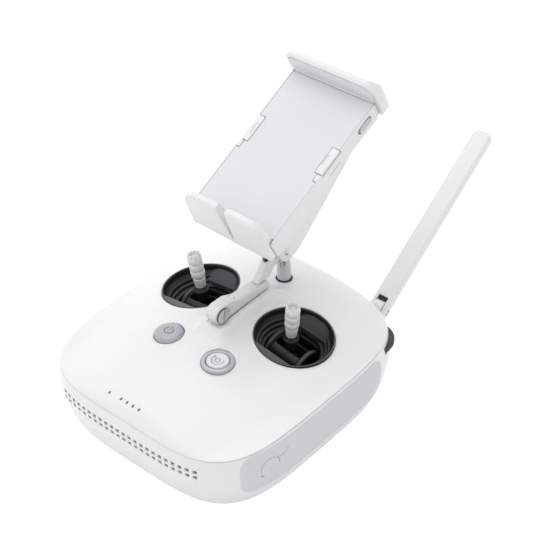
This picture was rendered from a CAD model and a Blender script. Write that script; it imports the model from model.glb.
"""A handheld radio transmitter: a rounded casing with two stick wells, a tilting tray on an arm
and two paddle antennas. The casing stands on z = 0 with its front toward -Y, its rear toward +Y
and its right side toward +X. Lengths are millimetres until emit() scales a mesh to metres."""

import math

import bmesh
import bpy
import numpy as np
from mathutils import Matrix, Vector
from mathutils.geometry import delaunay_2d_cdt


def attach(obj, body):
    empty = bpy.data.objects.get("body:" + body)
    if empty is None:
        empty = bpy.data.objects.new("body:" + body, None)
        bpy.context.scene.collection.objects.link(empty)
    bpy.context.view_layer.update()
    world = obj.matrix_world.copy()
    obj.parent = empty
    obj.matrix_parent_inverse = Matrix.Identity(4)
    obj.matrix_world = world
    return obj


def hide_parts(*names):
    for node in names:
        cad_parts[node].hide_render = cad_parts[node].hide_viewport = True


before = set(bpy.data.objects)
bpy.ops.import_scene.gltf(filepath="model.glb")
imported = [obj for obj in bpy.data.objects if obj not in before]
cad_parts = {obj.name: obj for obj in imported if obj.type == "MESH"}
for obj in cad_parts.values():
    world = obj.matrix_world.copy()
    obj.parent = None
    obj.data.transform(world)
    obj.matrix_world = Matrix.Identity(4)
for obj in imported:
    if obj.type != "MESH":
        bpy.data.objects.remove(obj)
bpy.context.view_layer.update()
MM = 0.001
SIDES = ((1, "R", "right"), (-1, "L", "left"))      # sign of x, tag, word in body names

# ------------------------------------------------------------------ driving dimensions
HALF_X, HALF_Y, SQUARENESS = 80.5, 86.0, 4.0        # the casing's plan is a superellipse
SEAM_Z, SEAM_SCALE = 45.5, 0.985                    # parting line: height and plan scale
ROLL = 14                                           # power of the top's rolled-over edge
WALL = 2.2                                          # thickness of the top
WALL_SCALE = 0.0275                                 # wall thickness as a share of the plan
PLAN_STEPS = 288

WELL, WELL_TILT, GIMBAL_DEPTH = (37.05, 20.0, 58.0), 10.0, 20.0
MOUTH, MOUTH_TILT = (37.35, 20.0, 57.2), 8.2        # the visible opening of each well
WELL_R, WELL_LIP = 24.3, 0.6
STICK_TOP = 45.0                                    # above the gimbal's pivot
STICK_LEAN = {1: (0.142, -0.073), -1: (-0.112, -0.073)}

POWER_AT, HOME_AT = (-20.4, -25.2), (18.8, -25.6)
POST_Y = 54.5
LED_Y, LED_MID = -77.4, -5.9
LED_X = (-17.7, -8.3, -3.5, 1.2, 5.9)

ARM_Y, ARM_Z = -5.0, 71.0                           # the arm's pivot
TROUGH_HALF, TROUGH_Y, TROUGH_Z = 4.87, (-13.5, 49.0), 64.2
TILT_Y, TILT_Z = 49.6, 87.0                         # the tray's hinge
TRAY_DEG, TRAY_ORIGIN = 26.4, (0.0, 12.5, 128.0)

ANTENNA, ANTENNA_DEG, ANTENNA_LENGTH = (45.3, 90.6, 36.2), 35.3, 129.8
KNUCKLE_BORE = 4.9
REAR_Z, DIAL_AT, DIAL_R, DIAL_Z = 34.0, 61.5, 14.4, 40.1
# rear keys: name, x, z, radius
REAR_KEYS = (
    ("shutter_button", 34.0, REAR_Z, 4.8),
    ("record_button", -34.0, REAR_Z, 4.8),
    ("pause_button", 18.0, REAR_Z, 3.8),
    ("function_button_1", 40.0, 18.0, 4.6),
    ("function_button_2", -40.0, 18.0, 4.6),
)
SCREWS = ((-58.0, -52.0), (58.0, -52.0), (-58.0, 48.0), (58.0, 48.0))
PAD_ANGLES, PAD_Z, PAD_R = (-43.0, 33.0), (14.0, 43.3), 8.5     # right grip pad
PORT_X, PORT_Y, PORT_Z = 78.3, -49.3, 30.0
VENT_PITCH, VENT_ROWS = 4.7, (29.9, 33.9)


# ------------------------------------------------------------------ placing
def place(loc=(0, 0, 0), rot=None):
    matrix = rot.to_4x4() if rot is not None else Matrix.Identity(4)
    matrix.translation = Vector(loc)
    return matrix


def turn(axis, degrees):
    return Matrix.Rotation(math.radians(degrees), 3, axis)


TO_X, TO_Y = turn("Y", 90), turn("X", -90)          # carry +Z onto +X or +Y
TRAY = place(TRAY_ORIGIN, turn("X", TRAY_DEG))
MOUTH_AT = {side: place((side * MOUTH[0], MOUTH[1], MOUTH[2]), turn("Y", MOUTH_TILT * side))
            for side in (1, -1)}
MOUTH_INVERSE = {side: matrix.inverted() for side, matrix in MOUTH_AT.items()}


def span(side, inner, outer):
    """An x range given for the right side, put on either side in rising order."""
    return sorted((side * inner, side * outer))


# ------------------------------------------------------------------ outlines
def soften(points, closed=True, steps=4):
    """Rounds a polyline's corners. A point may carry its own radius as a third number."""
    n, out = len(points), []
    for i, point in enumerate(points):
        radius = point[2] if len(point) > 2 else 0.0
        if radius <= 0 or (not closed and i in (0, n - 1)):
            out.append((point[0], point[1]))
            continue
        before, corner, after = (Vector(points[i - 1][:2]), Vector(point[:2]),
                                 Vector(points[(i + 1) % n][:2]))
        u, v = before - corner, after - corner
        u_length, v_length = u.length, v.length
        u.normalize()
        v.normalize()
        angle = math.acos(max(-1, min(1, u.dot(v))))
        if angle > math.pi - 0.02:
            out.append((point[0], point[1]))
            continue
        trim = min(radius / math.tan(angle / 2), u_length * 0.49, v_length * 0.49)
        fitted = trim * math.tan(angle / 2)
        centre = corner + (u + v).normalized() * (fitted / math.sin(angle / 2))
        start, end = corner + u * trim - centre, corner + v * trim - centre
        first = math.atan2(start.y, start.x)
        sweep = (math.atan2(end.y, end.x) - first + math.pi) % (2 * math.pi) - math.pi
        for j in range(steps + 1):
            a = first + sweep * j / steps
            out.append((centre.x + fitted * math.cos(a), centre.y + fitted * math.sin(a)))
    return out


def arc(cx, cy, r, start, end, steps):
    angles = [math.radians(start + (end - start) * i / steps) for i in range(steps + 1)]
    return [(cx + r * math.cos(a), cy + r * math.sin(a)) for a in angles]


def round_rect(x0, x1, y0, y1, r, steps=5):
    return soften([(x0, y0, r), (x1, y0, r), (x1, y1, r), (x0, y1, r)], True, steps)


def circle(cx, cy, r, n=48, phase=0.0):
    angles = [phase + 2 * math.pi * i / n for i in range(n)]
    return [(cx + r * math.cos(a), cy + r * math.sin(a)) for a in angles]


def lamp_outline(x, r, half_gap):
    """A lamp's small slot: a circle with its halves pulled apart along y."""
    angles = [2 * math.pi * (i + 0.5) / 20 for i in range(20)]
    return [(x + r * math.cos(a),
             LED_Y + (half_gap if math.sin(a) > 0 else -half_gap) + r * math.sin(a))
            for a in angles]


def inside(loop, x, y):
    result = False
    for i in range(len(loop)):
        x0, y0 = loop[i]
        x1, y1 = loop[i - 1]
        if (y0 > y) != (y1 > y) and x < (x1 - x0) * (y - y0) / (y1 - y0) + x0:
            result = not result
    return result


# ------------------------------------------------------------------ solids
def outward(mesh):
    bmesh.ops.recalc_face_normals(mesh, faces=mesh.faces[:])
    return mesh


def bridge(mesh, a, b):
    for i in range(len(a)):
        j = (i + 1) % len(a)
        mesh.faces.new((a[i], a[j], b[j], b[i]))


def prism(outline, h0, h1, plane="XY"):
    """A flat outline given a thickness. The plane names the outline's two axes."""
    mesh = bmesh.new()
    put = {"XY": lambda a, b, h: (a, b, h),
           "YZ": lambda a, b, h: (h, a, b),
           "XZ": lambda a, b, h: (a, h, b)}[plane]
    low = [mesh.verts.new(put(a, b, h0)) for a, b in outline]
    high = [mesh.verts.new(put(a, b, h1)) for a, b in outline]
    mesh.faces.new(low)
    mesh.faces.new(high[::-1])
    bridge(mesh, low, high)
    return outward(mesh)


def bevel(mesh, width, segments=3, angle=38):
    edges = [e for e in mesh.edges
             if len(e.link_faces) == 2 and e.calc_face_angle(0) > math.radians(angle)]
    bmesh.ops.bevel(mesh, geom=edges, offset=width, offset_type="OFFSET", segments=segments,
                    profile=0.5, affect="EDGES", clamp_overlap=True)
    return mesh


def box(x0, x1, y0, y1, z0, z1, r=0.0, segments=2):
    mesh = prism([(x0, y0), (x1, y0), (x1, y1), (x0, y1)], z0, z1)
    return bevel(mesh, r, segments) if r else mesh


def lathe(profile, sides=64, closed=False, shape=None):
    """Profile (r, z) spun about Z. shape(r, z, angle) may return a changed (r, z)."""
    mesh = bmesh.new()
    rings = []
    for r, z in profile:
        if r < 1e-6:
            rings.append([mesh.verts.new((0, 0, z))])
            continue
        ring = []
        for i in range(sides):
            t = 2 * math.pi * i / sides
            rr, zz = (r, z) if shape is None else shape(r, z, t)
            ring.append(mesh.verts.new((rr * math.cos(t), rr * math.sin(t), zz)))
        rings.append(ring)
    pairs = list(zip(rings, rings[1:]))
    if closed:
        pairs.append((rings[-1], rings[0]))
    for a, b in pairs:
        for i in range(sides):
            j = (i + 1) % sides
            corners = [a[i % len(a)], a[j % len(a)], b[j % len(b)], b[i % len(b)]]
            corners = list(dict.fromkeys(corners))
            if len(corners) > 2:
                mesh.faces.new(corners)
    if not closed:
        for ring in (rings[0], rings[-1]):
            if len(ring) > 1:
                mesh.faces.new(ring)
    return outward(mesh)


def spin(profile, sides, steps=3):
    """A solid of revolution. The profile's rows are (r, z, corner radius)."""
    return lathe(soften(profile, False, steps), sides)


def spin_ring(profile, sides, steps=3):
    """The same for a closed profile clear of the axis."""
    return lathe(soften(profile, True, steps), sides, closed=True)


def loft(sections):
    mesh = bmesh.new()
    rows = [[mesh.verts.new(p) for p in section] for section in sections]
    for a, b in zip(rows, rows[1:]):
        bridge(mesh, a, b)
    mesh.faces.new(rows[0])
    mesh.faces.new(rows[-1])
    return outward(mesh)


def moved(mesh, matrix):
    bmesh.ops.transform(mesh, matrix=matrix, verts=mesh.verts[:])
    return mesh


def cylinder(r, z0, z1, sides=40):
    return prism(circle(0, 0, r, sides), z0, z1)


def x_cylinder(r, x0, x1, sides=64):
    return moved(cylinder(r, x0, x1, sides), place(rot=TO_X))


def y_cylinder(x, z, r, y0, y1, sides=40):
    return moved(cylinder(r, y0, y1, sides), place((x, 0, z), TO_Y))


def cross_cylinder(r, y0, y1, sides):
    """An x cylinder swung round to lie along y."""
    return moved(x_cylinder(r, y0, y1, sides), place(rot=turn("Z", 90)))


def joined(*meshes):
    out = bmesh.new()
    for mesh in meshes:
        data = bpy.data.meshes.new("j")
        mesh.to_mesh(data)
        mesh.free()
        out.from_mesh(data)
        bpy.data.meshes.remove(data)
    return out


def scratch_object(mesh):
    data = bpy.data.meshes.new("tmp")
    mesh.to_mesh(data)
    mesh.free()
    ob = bpy.data.objects.new("tmp", data)
    bpy.context.scene.collection.objects.link(ob)
    return ob


def boolean(a, b, operation):
    target, tool = scratch_object(a), scratch_object(b)
    modifier = target.modifiers.new("b", "BOOLEAN")
    modifier.operation, modifier.solver, modifier.object = operation, "EXACT", tool
    depsgraph = bpy.context.evaluated_depsgraph_get()
    result = bpy.data.meshes.new_from_object(target.evaluated_get(depsgraph), depsgraph=depsgraph)
    out = bmesh.new()
    out.from_mesh(result)
    for ob in (target, tool):
        data = ob.data
        bpy.data.objects.remove(ob, do_unlink=True)
        bpy.data.meshes.remove(data)
    bpy.data.meshes.remove(result)
    return out


def cut(mesh, *tools):
    for tool in tools:
        mesh = boolean(mesh, tool, "DIFFERENCE")
    return mesh


def fuse(mesh, *parts):
    for part in parts:
        mesh = boolean(mesh, part, "UNION")
    return mesh


def common(a, b):
    return boolean(a, b, "INTERSECT")


def emit(mesh, name, material, body, node, at=None, smooth=32):
    """Makes the object, in metres, and tells the frame which body it rides on. The node is the
    frame solid that it stands in for, or None."""
    if at is not None:
        moved(mesh, at)
    for face in mesh.faces:
        face.material_index = 0
    bmesh.ops.scale(mesh, vec=(MM, MM, MM), verts=mesh.verts[:])
    data = bpy.data.meshes.new(name)
    mesh.to_mesh(data)
    mesh.free()
    data.materials.append(material)
    data.shade_smooth()
    data.set_sharp_from_angle(angle=math.radians(smooth))
    ob = bpy.data.objects.new(name, data)
    bpy.context.scene.collection.objects.link(ob)
    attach(ob, body)
    if node:
        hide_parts(node)


# ------------------------------------------------------------------ triangulated sheets
def chain(points, verts, edges, closed=True):
    """Adds a line of points that the triangulation has to follow."""
    base, n = len(verts), len(points)
    verts.extend(points)
    for i in range(n if closed else n - 1):
        edges.append((base + i, base + (i + 1) % n))


def triangulate(verts, edges, keep):
    """Triangles whose centre passes keep(x, y), with only the points that they use."""
    points, _, faces, *_ = delaunay_2d_cdt([Vector(v) for v in verts], edges, [], 0, 1e-5)
    kept = [tuple(f) for f in faces
            if keep(sum(points[i].x for i in f) / 3, sum(points[i].y for i in f) / 3)]
    used = sorted({i for f in kept for i in f})
    index = {v: i for i, v in enumerate(used)}
    return ([(points[i].x, points[i].y) for i in used],
            [tuple(index[i] for i in f) for f in kept])


def sheet(outer, inner, faces):
    """Two copies of one triangulation, joined by walls along every open edge."""
    n, count = len(outer), {}
    for f in faces:
        for i in range(3):
            edge = frozenset((f[i], f[(i + 1) % 3]))
            count[edge] = count.get(edge, 0) + 1
    mesh = bmesh.new()
    verts = [mesh.verts.new(p) for p in outer + inner]
    for f in faces:
        mesh.faces.new([verts[i] for i in f])
        mesh.faces.new([verts[i + n] for i in reversed(f)])
        for i in range(3):
            a, b = f[i], f[(i + 1) % 3]
            if count[frozenset((a, b))] == 1:
                mesh.faces.new((verts[b], verts[a], verts[a + n], verts[b + n]))
    return outward(mesh)


# ------------------------------------------------------------------ the casing's form
def plan_point(t, scale):
    c, k = math.cos(t), math.sin(t)
    n = SQUARENESS
    r = 1.0 / ((abs(c) / HALF_X) ** n + (abs(k) / HALF_Y) ** n) ** (1.0 / n)
    return scale * r * c, scale * r * k


def plan_scale(x, y):
    """Scale of the superellipse that passes through a point."""
    n = SQUARENESS
    return ((abs(x) / HALF_X) ** n + (abs(y) / HALF_Y) ** n) ** (1 / n)


def plan_ring(scale):
    return [plan_point(2 * math.pi * (i + 0.5) / PLAN_STEPS, scale) for i in range(PLAN_STEPS)]


def wall_normal(x, y):
    n = SQUARENESS
    return Vector((math.copysign(abs(x) ** (n - 1) / HALF_X ** n, x),
                   math.copysign(abs(y) ** (n - 1) / HALF_Y ** n, y), 0)).normalized()


def crown(x, y):
    return 61.0 - 0.0024 * x * x - 0.0009 * (y - 25.0) ** 2


def seam_dip(x, y):
    """The parting line runs a little lower round the casing's front."""
    t = abs(math.degrees(math.atan2(x, -y)))
    return float(np.interp(t, [0, 33, 45, 55, 65], [-1.5, -3.0, -2.0, -0.8, 0.0]))


# stations up the side: height, plan scale
SIDE_STATIONS = [(0.0, 0.80), (0.12, 0.832), (0.8, 0.868), (3.4, 0.916), (9.0, 0.951),
                 (18.0, 0.979), (30.0, 1.0), (39.0, 0.9965), (SEAM_Z, SEAM_SCALE)]


def smooth_side():
    """Catmull-Rom through the side's stations, so that the wall is one smooth curve."""
    p = [np.array(q) for q in SIDE_STATIONS]
    p = [2 * p[0] - p[1]] + p + [2 * p[-1] - p[-2]]
    out = []
    for a, b, c, d in zip(p, p[1:], p[2:], p[3:]):
        for i in range(12):
            t = i / 12
            out.append(0.5 * ((2 * b) + (c - a) * t + (2 * a - 5 * b + 4 * c - d) * t * t
                              + (3 * b - a - 3 * c + d) * t ** 3))
    out.append(p[-2])
    out = np.array(out)
    out[:, 0] = np.maximum.accumulate(out[:, 0])
    return out


SIDE_CURVE = smooth_side()


def side_scale(z):
    return float(np.interp(z, SIDE_CURVE[:, 0], SIDE_CURVE[:, 1]))


# ------------------------------------------------------------------ materials
def surface(name, rgb, rough, metal=0.0, var=0.02, rvar=0.05, grain=1400.0, bump=0.015,
            cloud=18.0, coat=0.0, edge=0.0004, brushed=None, spec=0.5, dist=0.0002):
    """Broad tone clouds (cloud, var), fine grain in bump and roughness (grain, bump, dist,
    rvar), and edges softened in shading by the radius edge, in metres. brushed stretches the
    grain along the axes."""
    material = bpy.data.materials.new(name)
    material.use_nodes = True
    nodes, links = material.node_tree.nodes, material.node_tree.links
    bsdf = nodes["Principled BSDF"]
    coords = nodes.new("ShaderNodeTexCoord").outputs["Object"]
    grain_coords = coords
    if brushed:
        mapping = nodes.new("ShaderNodeMapping")
        mapping.inputs["Scale"].default_value = brushed
        links.new(coords, mapping.inputs["Vector"])
        grain_coords = mapping.outputs["Vector"]
    clouds = nodes.new("ShaderNodeTexNoise")
    clouds.inputs["Scale"].default_value = cloud
    clouds.inputs["Detail"].default_value = 3.0
    links.new(coords, clouds.inputs["Vector"])
    fine = nodes.new("ShaderNodeTexNoise")
    fine.inputs["Scale"].default_value = grain
    fine.inputs["Detail"].default_value = 4.0
    fine.inputs["Roughness"].default_value = 0.6
    links.new(grain_coords, fine.inputs["Vector"])
    tone = nodes.new("ShaderNodeMix")
    tone.data_type = "RGBA"
    tone.inputs["A"].default_value = (*[max(0.0, c * (1 - var)) for c in rgb], 1)
    tone.inputs["B"].default_value = (*[min(1.0, c * (1 + var)) for c in rgb], 1)
    links.new(clouds.outputs["Fac"], tone.inputs["Factor"])
    links.new(tone.outputs["Result"], bsdf.inputs["Base Color"])
    roughness = nodes.new("ShaderNodeMapRange")
    roughness.inputs["From Min"].default_value = 0.3
    roughness.inputs["From Max"].default_value = 0.7
    roughness.inputs["To Min"].default_value = max(0.02, rough - rvar)
    roughness.inputs["To Max"].default_value = min(1.0, rough + rvar)
    links.new(fine.outputs["Fac"], roughness.inputs["Value"])
    links.new(roughness.outputs["Result"], bsdf.inputs["Roughness"])
    bsdf.inputs["Metallic"].default_value = metal
    bsdf.inputs["Specular IOR Level"].default_value = spec
    bsdf.inputs["Coat Weight"].default_value = coat
    bsdf.inputs["Coat Roughness"].default_value = 0.12
    relief = nodes.new("ShaderNodeBump")
    relief.inputs["Strength"].default_value = bump
    relief.inputs["Distance"].default_value = dist
    links.new(fine.outputs["Fac"], relief.inputs["Height"])
    if edge:
        rounding = nodes.new("ShaderNodeBevel")
        rounding.samples = 4
        rounding.inputs["Radius"].default_value = edge
        links.new(rounding.outputs["Normal"], relief.inputs["Normal"])
    links.new(relief.outputs["Normal"], bsdf.inputs["Normal"])
    return material


WHITE = surface("white_gloss", (0.73, 0.73, 0.735), rough=0.30, var=0.006, bump=0.03, coat=0.25)
WHITE_SATIN = surface("white_satin", (0.73, 0.73, 0.735), rough=0.40, var=0.006, bump=0.05)
SILVER = surface("silver_plastic", (0.56, 0.57, 0.58), rough=0.36, metal=0.35, var=0.03,
                 rvar=0.07, bump=0.10, grain=2600)
FROST = surface("frosted_silver", (0.70, 0.70, 0.705), rough=0.44, metal=0.12, var=0.05,
                rvar=0.10, bump=0.25, grain=1700)
RUBBER = surface("grip_rubber", (0.60, 0.605, 0.63), rough=0.62, rvar=0.08, bump=0.25,
                 grain=1900, spec=0.35, dist=0.0003)
PALE = surface("tray_rubber", (0.665, 0.675, 0.695), rough=0.66, var=0.015, rvar=0.08,
               bump=0.22, grain=1500, spec=0.3, dist=0.0003)
BLACK = surface("black_plastic", (0.010, 0.010, 0.012), rough=0.42, var=0.15, rvar=0.08,
                bump=0.12, grain=1800)
BLACK_RIM = surface("dark_rim", (0.022, 0.022, 0.025), rough=0.34, var=0.15, rvar=0.06,
                    bump=0.08, grain=1800)
DARK = surface("dark_grey_plastic", (0.045, 0.045, 0.052), rough=0.40, var=0.12, rvar=0.08,
               bump=0.10, grain=1800)
RING = surface("ring_grey", (0.45, 0.47, 0.485), rough=0.34, metal=0.2, var=0.05, rvar=0.06,
               bump=0.06, grain=1800)
POWER = surface("power_silver", (0.39, 0.39, 0.42), rough=0.36, metal=0.30, var=0.03,
                rvar=0.07, bump=0.10, grain=2600)
DISC = surface("disc_silver", (0.70, 0.71, 0.73), rough=0.40, metal=0.10, var=0.03, rvar=0.07,
               bump=0.10, grain=2600)
RIM_LINE = surface("rim_line", (0.085, 0.085, 0.09), rough=0.40, var=0.10, rvar=0.06,
                   bump=0.05, grain=1800, edge=0)
LEDGE = surface("ledge_grey", (0.075, 0.075, 0.082), rough=0.38, var=0.10, rvar=0.06,
                bump=0.08, grain=1800)
SLOPE = surface("slope_grey", (0.030, 0.030, 0.034), rough=0.42, var=0.12, rvar=0.08,
                bump=0.10, grain=1800)
ICON_LIGHT = surface("icon_light", (0.30, 0.31, 0.33), rough=0.45, var=0.05, bump=0.04, edge=0)
ICON_GREY = surface("icon_grey", (0.15, 0.16, 0.18), rough=0.45, var=0.05, bump=0.04, edge=0)
ALU = surface("turned_aluminium", (0.70, 0.70, 0.71), rough=0.44, metal=0.45, var=0.03,
              rvar=0.08, bump=0.18, grain=900, brushed=(1, 1, 9))
STEEL = surface("bright_steel", (0.62, 0.62, 0.64), rough=0.20, metal=1.0, var=0.04,
                rvar=0.08, bump=0.10, grain=900, brushed=(1, 1, 8))
LENS = surface("smoked_lens", (0.13, 0.135, 0.14), rough=0.22, var=0.10, rvar=0.04, bump=0.02,
               coat=0.4)
BOARD = surface("solder_mask", (0.015, 0.10, 0.04), rough=0.38, var=0.25, rvar=0.1, bump=0.4,
                grain=700, cloud=120)
CELL = surface("cell_wrap", (0.04, 0.05, 0.16), rough=0.35, var=0.1, rvar=0.1, bump=0.2,
               grain=400)

# ------------------------------------------------------------------ top shell: a height field
# the saddle that carries the arm: y, height above the crown
SADDLE = ((-40, -3.0), (-17.5, -0.9), (-13.0, 2.0), (-9.0, 4.6), (-4.0, 5.9), (10.0, 6.0),
          (30.0, 6.0), (38.0, 5.2), (43.0, 2.0), (46.0, -0.9), (80, -6.0))
saddle_y = np.linspace(-30, 62, 369)
kernel = np.exp(-np.linspace(-2.2, 2.2, 17) ** 2)
saddle_h = np.convolve(np.pad(np.interp(saddle_y, *zip(*SADDLE)), 8, mode="edge"),
                       kernel / kernel.sum(), "valid")


def saddle_z(x, y):
    h = np.interp(y, saddle_y, saddle_h)
    t = np.clip((abs(x) - 7.4) / 5.2, 0, 1)
    flank = 0.5 + 0.5 * math.cos(math.pi * t)
    return crown(0, y) + h * flank - 0.0024 * x * x - 7.5 * max(0.0, t - 0.98)


def smooth_max(a, b, k):
    h = max(0.0, min(1.0, 0.5 + 0.5 * (a - b) / k))
    return b + (a - b) * h + k * h * (1 - h)


def edge_rise(x, y):
    """Share of the height above the seam that the rolled edge has reached."""
    return math.sqrt(max(0.0, 1.0 - (plan_scale(x, y) / SEAM_SCALE) ** ROLL))


def body_z(x, y):
    """The casing's top before its openings are cut."""
    seam = SEAM_Z + seam_dip(x, y)
    z = seam + (smooth_max(crown(x, y), seam + 1.0, 2.5) - seam) * edge_rise(x, y)
    if abs(x) < 14 and -24 < y < 56:
        z = smooth_max(z, saddle_z(x, y), 1.0)
    return z


# round openings: x, y, radius, edge rounding
BORES = [(*POWER_AT, 9.3, 0.4), (*HOME_AT, 10.0, 0.4), (0.0, POST_Y, 5.2, 0.2)]


def drop(d, r):
    """How far a rounded edge of radius r has fallen at distance d outside the opening."""
    if d >= r:
        return 0.0
    d = max(0.0, d)
    return r - math.sqrt(max(0.0, r * r - (r - d) ** 2))


def top_z(x, y):
    z = body_z(x, y)
    for side in (1, -1):
        local = MOUTH_INVERSE[side] @ Vector((x, y, z))
        d = math.hypot(local.x, local.y) - WELL_R
        if d < 5.0 and abs(x) > 14:
            z -= 0.30 * (1 - min(1.0, max(0.0, d) / 5.0)) ** 2
        z -= drop(d, WELL_LIP)
    for cx, cy, r, rounding in BORES:
        z -= drop(math.hypot(x - cx, y - cy) - r, rounding)
    for lx in LED_X:
        z -= drop(math.hypot(x - lx, max(0.0, abs(y - LED_Y) - 0.25)) - 0.72, 0.18)
    # the trough that the arm lies in, and the scoop round its slotted screw
    in_trough_y = TROUGH_Y[0] <= y <= TROUGH_Y[1]
    if abs(x) < TROUGH_HALF and in_trough_y:
        z = min(z, TROUGH_Z)
    elif z > TROUGH_Z + 0.1 and in_trough_y:
        z -= drop(abs(x) - 4.9, min(0.5, (z - TROUGH_Z) * 0.5))
    if x > TROUGH_HALF and abs(y - ARM_Y) < 5.58:
        z = min(z, ARM_Z - 0.2 - math.sqrt(5.6 ** 2 - (y - ARM_Y) ** 2))
    return z


def edge_offsets(r, angles):
    """Distances outside an opening at which a rounded edge of radius r gets a ring."""
    return [r * (1 - math.cos(math.radians(a))) for a in angles]


def mouth_ring(side, d, n=144):
    """A circle round a well's tilted axis, dropped onto the casing and seen from above."""
    out = []
    for i in range(n):
        t = 2 * math.pi * i / n
        h = 0.0
        for _ in range(6):
            p = MOUTH_AT[side] @ Vector(((WELL_R + d) * math.cos(t),
                                         (WELL_R + d) * math.sin(t), h))
            h += (body_z(p.x, p.y) - p.z)
        out.append((p.x, p.y))
    return out


def in_mouth(x, y, x_shrink=1.0):
    return any(math.hypot((x - side * MOUTH[0]) / x_shrink, y - MOUTH[1]) < WELL_R - 0.5
               for side in (1, -1))


def top_lines():
    """Rings and lines along every edge of the top, and the outlines of its holes."""
    verts, edges, holes = [], [], []
    for angle in (0, 4, 8, 13, 18, 24, 30, 36, 43, 50, 57, 64, 71):
        chain(plan_ring(SEAM_SCALE * math.cos(math.radians(angle)) ** (2 / ROLL)), verts, edges)
    for side in (1, -1):
        rings = [mouth_ring(side, d) for d in edge_offsets(WELL_LIP, (0, 22, 45, 67, 90))]
        holes.append(rings[0])
        for ring in rings:
            chain(ring, verts, edges)
        for d in (1.6, 2.6, 3.8):
            chain([p for p in mouth_ring(side, d) if p[0] * side > 13.5], verts, edges, False)
    for cx, cy, r, rounding in BORES:
        rings = [circle(cx, cy, r + d, 72) for d in edge_offsets(rounding, (0, 30, 60, 90))]
        holes.append(rings[0])
        for ring in rings:
            chain(ring, verts, edges)
        chain(circle(cx, cy, r + rounding + 0.9, 72, 0.04), verts, edges)
    for lx in LED_X:
        rings = [lamp_outline(lx, r, 0.25) for r in (0.72, 0.78, 0.90)]
        holes.append(rings[0])
        for ring in rings:
            chain(ring, verts, edges)
    # trough and scoop
    for x in (4.84, 4.90, 4.98, 5.15, 5.5):
        for side in (1, -1):
            chain([(side * x, y) for y in np.arange(TROUGH_Y[0], 49.01, 0.75)],
                  verts, edges, False)
    for y in TROUGH_Y:
        chain([(x, y) for x in np.linspace(-4.84, 4.84, 11)], verts, edges, False)
    for dy in (-5.59, -2.6, 2.6, 5.59):
        chain([(x, ARM_Y + dy) for x in np.linspace(5.6, 13.2, 14)], verts, edges, False)
    return verts, edges, holes


def inner_point(x, y):
    """The inside face follows the plain crown."""
    k = max(0.0, min(1.0, (plan_scale(x, y) - 0.80) / 0.185))
    scale = 1 - WALL_SCALE * k * k
    xi, yi = x * scale, y * scale
    h = edge_rise(x, y)
    seam = SEAM_Z + seam_dip(x, y)
    z = seam + (smooth_max(crown(xi, yi), seam + 1.0, 2.5) - seam) * h - WALL * min(1.0, 1.3 * h)
    return xi, yi, z


def top_shell():
    verts, edges, holes = top_lines()
    placed = np.array(verts)
    infill = []

    def fill(xs, ys, gap, skip):
        for x in xs:
            for y in ys:
                if skip(x, y):
                    continue
                if np.min(np.hypot(placed[:, 0] - x, placed[:, 1] - y)) > gap:
                    infill.append((x, y))

    limit = SEAM_SCALE * math.cos(math.radians(71)) ** (2 / ROLL) - 0.012
    fill(np.arange(-78, 78.1, 1.7), np.arange(-84, 84.1, 1.7), 0.75,
         lambda x, y: (plan_scale(x, y) > limit or (abs(x) < 14.2 and -20 < y < 54)
                       or in_mouth(x, y)))
    # the saddle gets a finer grid
    fill(np.arange(-14, 14.01, 0.7), np.arange(-20, 54, 0.8), 0.33,
         lambda x, y: in_mouth(x, y, math.cos(math.radians(MOUTH_TILT))))
    points, faces = triangulate(verts + infill, edges,
                                lambda x, y: not any(inside(h, x, y) for h in holes))
    return sheet([(x, y, top_z(x, y)) for x, y in points],
                 [inner_point(x, y) for x, y in points], faces)


def knuckle_bores():
    return [y_cylinder(side * ANTENNA[0], ANTENNA[2], KNUCKLE_BORE, 70, 92) for side in (1, -1)]


emit(cut(top_shell(), joined(*knuckle_bores())), "upper_casing", WHITE, "casing", "top_shell",
     smooth=38)


# ------------------------------------------------------------------ slabs wrapped round the side
def wall_lengths(t0, t1):
    """Angles from t0 to t1 degrees, and the length along the wall at each."""
    angles = np.linspace(math.radians(t0), math.radians(t1), 400)
    xy = np.array([plan_point(t, 1.0) for t in angles])
    return angles, np.concatenate([[0], np.cumsum(np.hypot(*np.diff(xy, axis=0).T))])


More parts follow.
